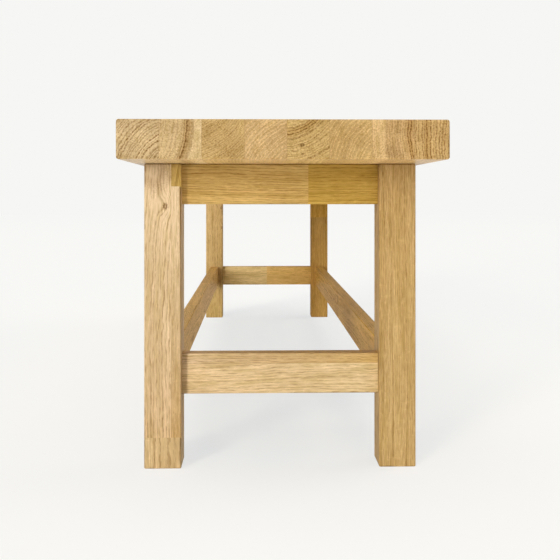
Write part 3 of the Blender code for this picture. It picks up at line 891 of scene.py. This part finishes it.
def seat_tree():
    """Staves of the given widths, made one seat with eased outer arrises."""
    tree, given, result = new_group("Glued Stave Seat", "GeometryNodeTree", [
        ("Stave Middles", "NodeSocketGeometry", None),
        ("Length", "NodeSocketFloat", 1.8),
        ("Width", "NodeSocketFloat", 0.4),
        ("Thickness", "NodeSocketFloat", 0.048),
        ("Height", "NodeSocketFloat", 0.46),
        ("Ease", "NodeSocketFloat", SEAT_EASE),
        ("Ease Steps", "NodeSocketInt", EASE_STEPS),
        ("Log Step", "NodeSocketFloat", LOG_STEP),
        ("Finish", "NodeSocketMaterial", None),
    ], [("Seat", "NodeSocketGeometry")])
    steps, ease = given["Ease Steps"], given["Ease"]
    lines = maths(tree, "MULTIPLY_ADD", steps, 2.0, 2.0)
    blank = put(tree, "GeometryNodeMeshCube", {
        "Size": (1, 1, 1), "Vertices X": lines, "Vertices Y": lines, "Vertices Z": lines,
    }).outputs[0]
    position = put(tree, "GeometryNodeInputPosition").outputs[0]
    blank = store(tree, blank, "share", position)
    middles = store(tree, given["Stave Middles"], "middle", position)
    number = put(tree, "GeometryNodeInputIndex").outputs[0]
    middles = store(tree, middles, "number", number, "FLOAT")
    staves = put(tree, "GeometryNodeInstanceOnPoints", {
        "Points": middles, "Instance": blank}).outputs[0]
    staves = put(tree, "GeometryNodeRealizeInstances", {0: staves}).outputs[0]

    # Every stave to its size, and then the seat's own edges rounded over: what lies on
    # a square ring round an arris's middle line comes to lie on a round one.
    size = vector_of(tree, given["Length"], given["Width"], given["Thickness"])
    half = stretched(tree, size, (0.5, 0.5, 0.5))
    half_length, _, half_thickness = parts_of(tree, half)
    stave_half = product(tree, named(tree, "width", "FLOAT"), 0.5)
    _, middle_y, _ = parts_of(tree, named(tree, "middle"))
    share_x, share_y, share_z = parts_of(tree, named(tree, "share"))
    square = vector_of(
        tree,
        spread_out(tree, share_x, half_length, ease, steps),
        maths(tree, "ADD", middle_y, spread_out(tree, share_y, stave_half, ease, steps)),
        spread_out(tree, share_z, half_thickness, ease, steps),
    )
    inner = vector_maths(tree, "SUBTRACT", half, vector_of(tree, ease, ease, ease))
    opposite = stretched(tree, inner, (-1, -1, -1))
    core = vector_maths(tree, "MINIMUM", square, inner)
    core = vector_maths(tree, "MAXIMUM", core, opposite)
    out = vector_maths(tree, "SUBTRACT", square, core)
    pull = maths(tree, "DIVIDE", largest_part(tree, out), vector_maths(tree, "LENGTH", out))
    scaled = put(tree, "ShaderNodeVectorMath", {0: out, "Scale": pull},
                 operation="SCALE").outputs[0]
    rounded = vector_maths(tree, "ADD", core, scaled)
    lift = maths(tree, "SUBTRACT", given["Height"], half_thickness)
    placed = vector_maths(tree, "ADD", rounded, vector_of(tree, 0.0, 0.0, lift))
    seat = put(tree, "GeometryNodeSetPosition", {
        "Geometry": staves, "Position": placed}).outputs[0]

    # Each stave's place in its log, and its distances from the glue on either side.
    from_middle = vector_maths(tree, "SUBTRACT", position, vector_of(tree, 0.0, middle_y, lift))
    start = maths(tree, "MULTIPLY_ADD", named(tree, "number", "FLOAT"), given["Log Step"],
                  SEAT_LOG_START)
    log = vector_maths(tree, "SUBTRACT", from_middle, named(tree, "pith"))
    seat = store(tree, seat, "log", vector_maths(
        tree, "ADD", log, vector_of(tree, start, 0.0, 0.0)))
    _, place_y, _ = parts_of(tree, from_middle)
    for side, operation in (("low", "ADD"), ("high", "SUBTRACT")):
        to_side = maths(tree, operation, stave_half, place_y)
        to_side = maths(tree, "ADD", to_side, named(tree, "open_" + side, "FLOAT"))
        distances = vector_of(tree, FAR_FROM_GLUE, to_side, FAR_FROM_GLUE)
        seat = store(tree, seat, "glue_" + side, distances)

    # The rounded arrises are smooth and the planed faces flat.
    facing = put(tree, "GeometryNodeInputNormal").outputs[0]
    is_arris = maths(tree, "LESS_THAN", largest_part(tree, facing), FLAT)
    seat = put(tree, "GeometryNodeSetShadeSmooth", {
        "Geometry": seat, "Shade Smooth": is_arris}, domain="FACE").outputs[0]
    for helper in ("share", "middle", "number", "width", "pith", "open_low", "open_high"):
        seat = put(tree, "GeometryNodeRemoveAttribute", {
            "Geometry": seat, "Name": helper}).outputs[0]
    seat = put(tree, "GeometryNodeSetMaterial", {
        "Geometry": seat, "Material": given["Finish"]}).outputs[0]
    tree.links.new(seat, result["Seat"])
    return tree


def stave_middles(nodes):
    """A point in the middle of each stave, which carries all that is its own."""
    boxes = [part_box(node) for node in nodes]
    cuts = [boxes[0][0].y]
    cuts += [(left[1].y + right[0].y) / 2 for left, right in zip(boxes, boxes[1:])]
    cuts.append(boxes[-1][1].y)
    sides = list(zip(cuts, cuts[1:]))
    middle_z = (boxes[0][0].z + boxes[0][1].z) / 2
    mesh = bpy.data.meshes.new("stave_middles")
    mesh.from_pydata([(0, (low + high) / 2, middle_z) for low, high in sides], [], [])
    tables = {
        "width": ("FLOAT", [high - low for low, high in sides]),
        "open_low": ("FLOAT", [FAR_FROM_GLUE] + [0.0] * (len(nodes) - 1)),
        "open_high": ("FLOAT", [0.0] * (len(nodes) - 1) + [FAR_FROM_GLUE]),
        "tone": ("FLOAT_COLOR", [linear(*stave[0]) for stave in STAVES]),
        "pith": ("FLOAT_VECTOR", [(0, *stave[1]) for stave in STAVES]),
        "figure": ("FLOAT_VECTOR", [stave[2:5] for stave in STAVES]),
        "heavy": ("FLOAT", [stave[5] for stave in STAVES]),
    }
    fields = {"FLOAT": "value", "FLOAT_VECTOR": "vector", "FLOAT_COLOR": "color"}
    for name, (kind, values) in tables.items():
        attribute = mesh.attributes.new(name, kind, "POINT")
        for index, value in enumerate(values):
            setattr(attribute.data[index], fields[kind], value)
    return mesh, cuts


def seat_faces(tree):
    """The rings show most on the ends, and the top is rubbed duller than the rest."""
    facing = parts_of(tree, coordinates(tree, "Normal"))
    is_end = ramp(tree, maths(tree, "ABSOLUTE", facing[0]), 0.4, 0.9)
    is_top = ramp(tree, facing[2], 0.4, 0.9)
    return {
        "End Grain": maths(tree, "MULTIPLY_ADD", is_end, 1 - LONG_FACE_RINGS, LONG_FACE_RINGS),
        "Base Roughness": maths(tree, "MULTIPLY_ADD", is_top, TOP_DULLER, SEAT_ROUGHNESS),
    }


seat_oak = oak_material("Oiled oak, seat", shades=SEAT_SHADES, shine=SEAT_SHINE,
                        by_face=seat_faces, knots_and_shade=[
    ((0.900, 0.0223, 0.4290), 0.0024, (1, 0.8, 1), 0.001, 1.0),
    ((0.900, 0.0223, 0.4178), 0.0018, (1, 1, 1), 0.001, 1.0),
    ((0.900, 0.1297, 0.4213), 0.0095, (1, 1, 1.2), 0.001, 0.30),
])
stave_nodes = sorted(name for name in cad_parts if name.startswith("seat_stave"))
seat_low, seat_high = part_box(stave_nodes[0])
middles, stave_cuts = stave_middles(stave_nodes)
seat_mesh = made_by(seat_tree(), "stave_seat", middles, {
    "Length": seat_high.x - seat_low.x, "Width": stave_cuts[-1] - stave_cuts[0],
    "Thickness": seat_high.z - seat_low.z, "Height": seat_high.z, "Finish": seat_oak,
})
add_piece("stave_seat", seat_mesh, stave_nodes)

# Studio: a plain pale floor without an edge. It shows the bench's soft shadow, and far
# behind the bench it fades into the backdrop.
FLOOR_REACH = 60.0
BACKDROP = linear(246, 246, 244)
FLOOR_LIGHT = 0.84
FLOOR_SHADE = (0.40, 0.34, 0.30)
FLOOR_WHITE = (0.93, 0.93, 0.925, 1)
FADE_START = 4.0
FADE_END = 16.0


def seen_directly(tree):
    """1 for what the camera sees, straight or in gloss or glass."""
    path = put(tree, "ShaderNodeLightPath").outputs
    seen = maths(tree, "MAXIMUM", path["Is Camera Ray"], path["Is Glossy Ray"])
    return maths(tree, "MAXIMUM", seen, path["Is Transmission Ray"])


def floor_material():
    """A lit floor to the camera, and plain white paint to all other light."""
    material, tree = new_material("Studio floor")
    output = tree.nodes["Material Output"].inputs["Surface"]
    tree.nodes.remove(tree.nodes["Principled BSDF"])
    plain = put(tree, "ShaderNodeBsdfDiffuse", {"Color": FLOOR_WHITE}).outputs[0]
    # The floor in full light is as pale as the backdrop. Its shadows are a little less
    # strong in blue, against the warm light that the oak throws on it.
    shade = [share * white for share, white in zip(FLOOR_SHADE, BACKDROP)]
    glow = [white - FLOOR_LIGHT * part for part, white in zip(shade, BACKDROP)]
    glow = put(tree, "ShaderNodeEmission", {"Color": (*glow, 1)}).outputs[0]
    shade = put(tree, "ShaderNodeBsdfDiffuse", {"Color": (*shade, 1)}).outputs[0]
    shown = put(tree, "ShaderNodeAddShader", {0: glow, 1: shade}).outputs[0]
    # Far away it is the backdrop itself, so that no line shows where the two meet.
    distance = vector_maths(tree, "LENGTH", coordinates(tree))
    far = ramp(tree, distance, FADE_START, FADE_END)
    backdrop = put(tree, "ShaderNodeEmission", {"Color": BACKDROP}).outputs[0]
    shown = put(tree, "ShaderNodeMixShader", {0: far, 1: shown, 2: backdrop}).outputs[0]
    mixed = put(tree, "ShaderNodeMixShader", {0: seen_directly(tree), 1: plain, 2: shown})
    tree.links.new(mixed.outputs[0], output)
    return material


floor_mesh = bpy.data.meshes.new("studio_floor")
corners = ((-1, -1), (1, -1), (1, 1), (-1, 1))
floor_mesh.from_pydata(
    [(x * FLOOR_REACH, y * FLOOR_REACH, 0) for x, y in corners], [], [(0, 1, 2, 3)])
floor_mesh.materials.append(floor_material())
new_object("studio_floor", floor_mesh)

# Light: a tall narrow softbox from the front and left, as three lamps one above another,
# a card straight in front, a side panel from behind on the right, a soft overhead panel,
# and a card on the floor that throws light up under the end of the seat.
WARM_WHITE = (1.0, 0.985, 0.955)
PLAIN_WHITE = (1.0, 1.0, 1.0)
# Each distant lamp: its name, the way towards it, its strength, how many degrees wide it
# looks, and its colour.
DISTANT_LAMPS = (
    ("front_card", (1.0, 0.02, 0.10), 0.25, 30, WARM_WHITE),
    ("softbox_low", (0.857, -0.515, 0.08), 1.02, 12, WARM_WHITE),
    ("softbox_middle", (0.857, -0.515, 0.29), 0.80, 12, WARM_WHITE),
    ("softbox_high", (0.80, -0.48, 0.62), 0.45, 16, WARM_WHITE),
    ("side_panel", (-0.35, 0.85, 0.35), 0.90, 40, PLAIN_WHITE),
    ("overhead_panel", (0.1, -0.05, 1.0), 1.55, 64, PLAIN_WHITE),
)
CARD_SIZE = (0.08, 0.44)
CARD_PLACE = (0.84, 0.0, 0.01)
CARD_POWER = 0.16
CARD_SPREAD = math.radians(50)
ROOM_STRENGTH = 0.10


def add_lamp(name, kind, power):
    lamp = bpy.data.lights.new(name, kind)
    lamp.energy = power
    return lamp, new_object(name, lamp)


for name, heading, strength, spread, colour in DISTANT_LAMPS:
    lamp, light = add_lamp(name, "SUN", strength)
    lamp.angle = math.radians(spread)
    lamp.color = colour
    light.rotation_euler = Vector(heading).to_track_quat("Z", "Y").to_euler()
lamp, light = add_lamp("floor_card", "AREA", CARD_POWER)
lamp.shape = "RECTANGLE"
lamp.size, lamp.size_y = CARD_SIZE
lamp.spread = CARD_SPREAD
light.location = CARD_PLACE
light.rotation_euler = (math.pi, 0, 0)
light.visible_camera = False
light.visible_glossy = False

room = bpy.data.worlds.new("pale_room")
bpy.context.scene.world = room
room.use_nodes = True
room_tree = room.node_tree
room_tree.nodes.clear()
even = put(room_tree, "ShaderNodeBackground", {
    "Color": (*PLAIN_WHITE, 1), "Strength": ROOM_STRENGTH})
shown = put(room_tree, "ShaderNodeBackground", {"Color": BACKDROP, "Strength": 1.0})
mixed = put(room_tree, "ShaderNodeMixShader", {
    0: seen_directly(room_tree), 1: even.outputs[0], 2: shown.outputs[0]})
put(room_tree, "ShaderNodeOutputWorld", {"Surface": mixed.outputs[0]})

# Camera: level, at the height of the apron, a little left of the bench's middle line. Its
# picture is shifted down rather than tilted, so the legs' edges stay upright.
EYE = (1.947, -0.0332, 0.3684)
EYE_TURN = math.radians(90 - 1.57)
LENS = 56.4
SENSOR_WIDTH = 36
PICTURE_SHIFT = -0.1505
SIGHT_REACH = 200

view = bpy.data.cameras.new("camera")
view.lens = LENS
view.sensor_width = SENSOR_WIDTH
view.shift_y = PICTURE_SHIFT
view.clip_end = SIGHT_REACH
camera = new_object("camera", view)
camera.location = EYE
camera.rotation_euler = (math.radians(90), 0, EYE_TURN)
bpy.context.scene.camera = camera
bpy.context.scene.view_settings.view_transform = "Standard"
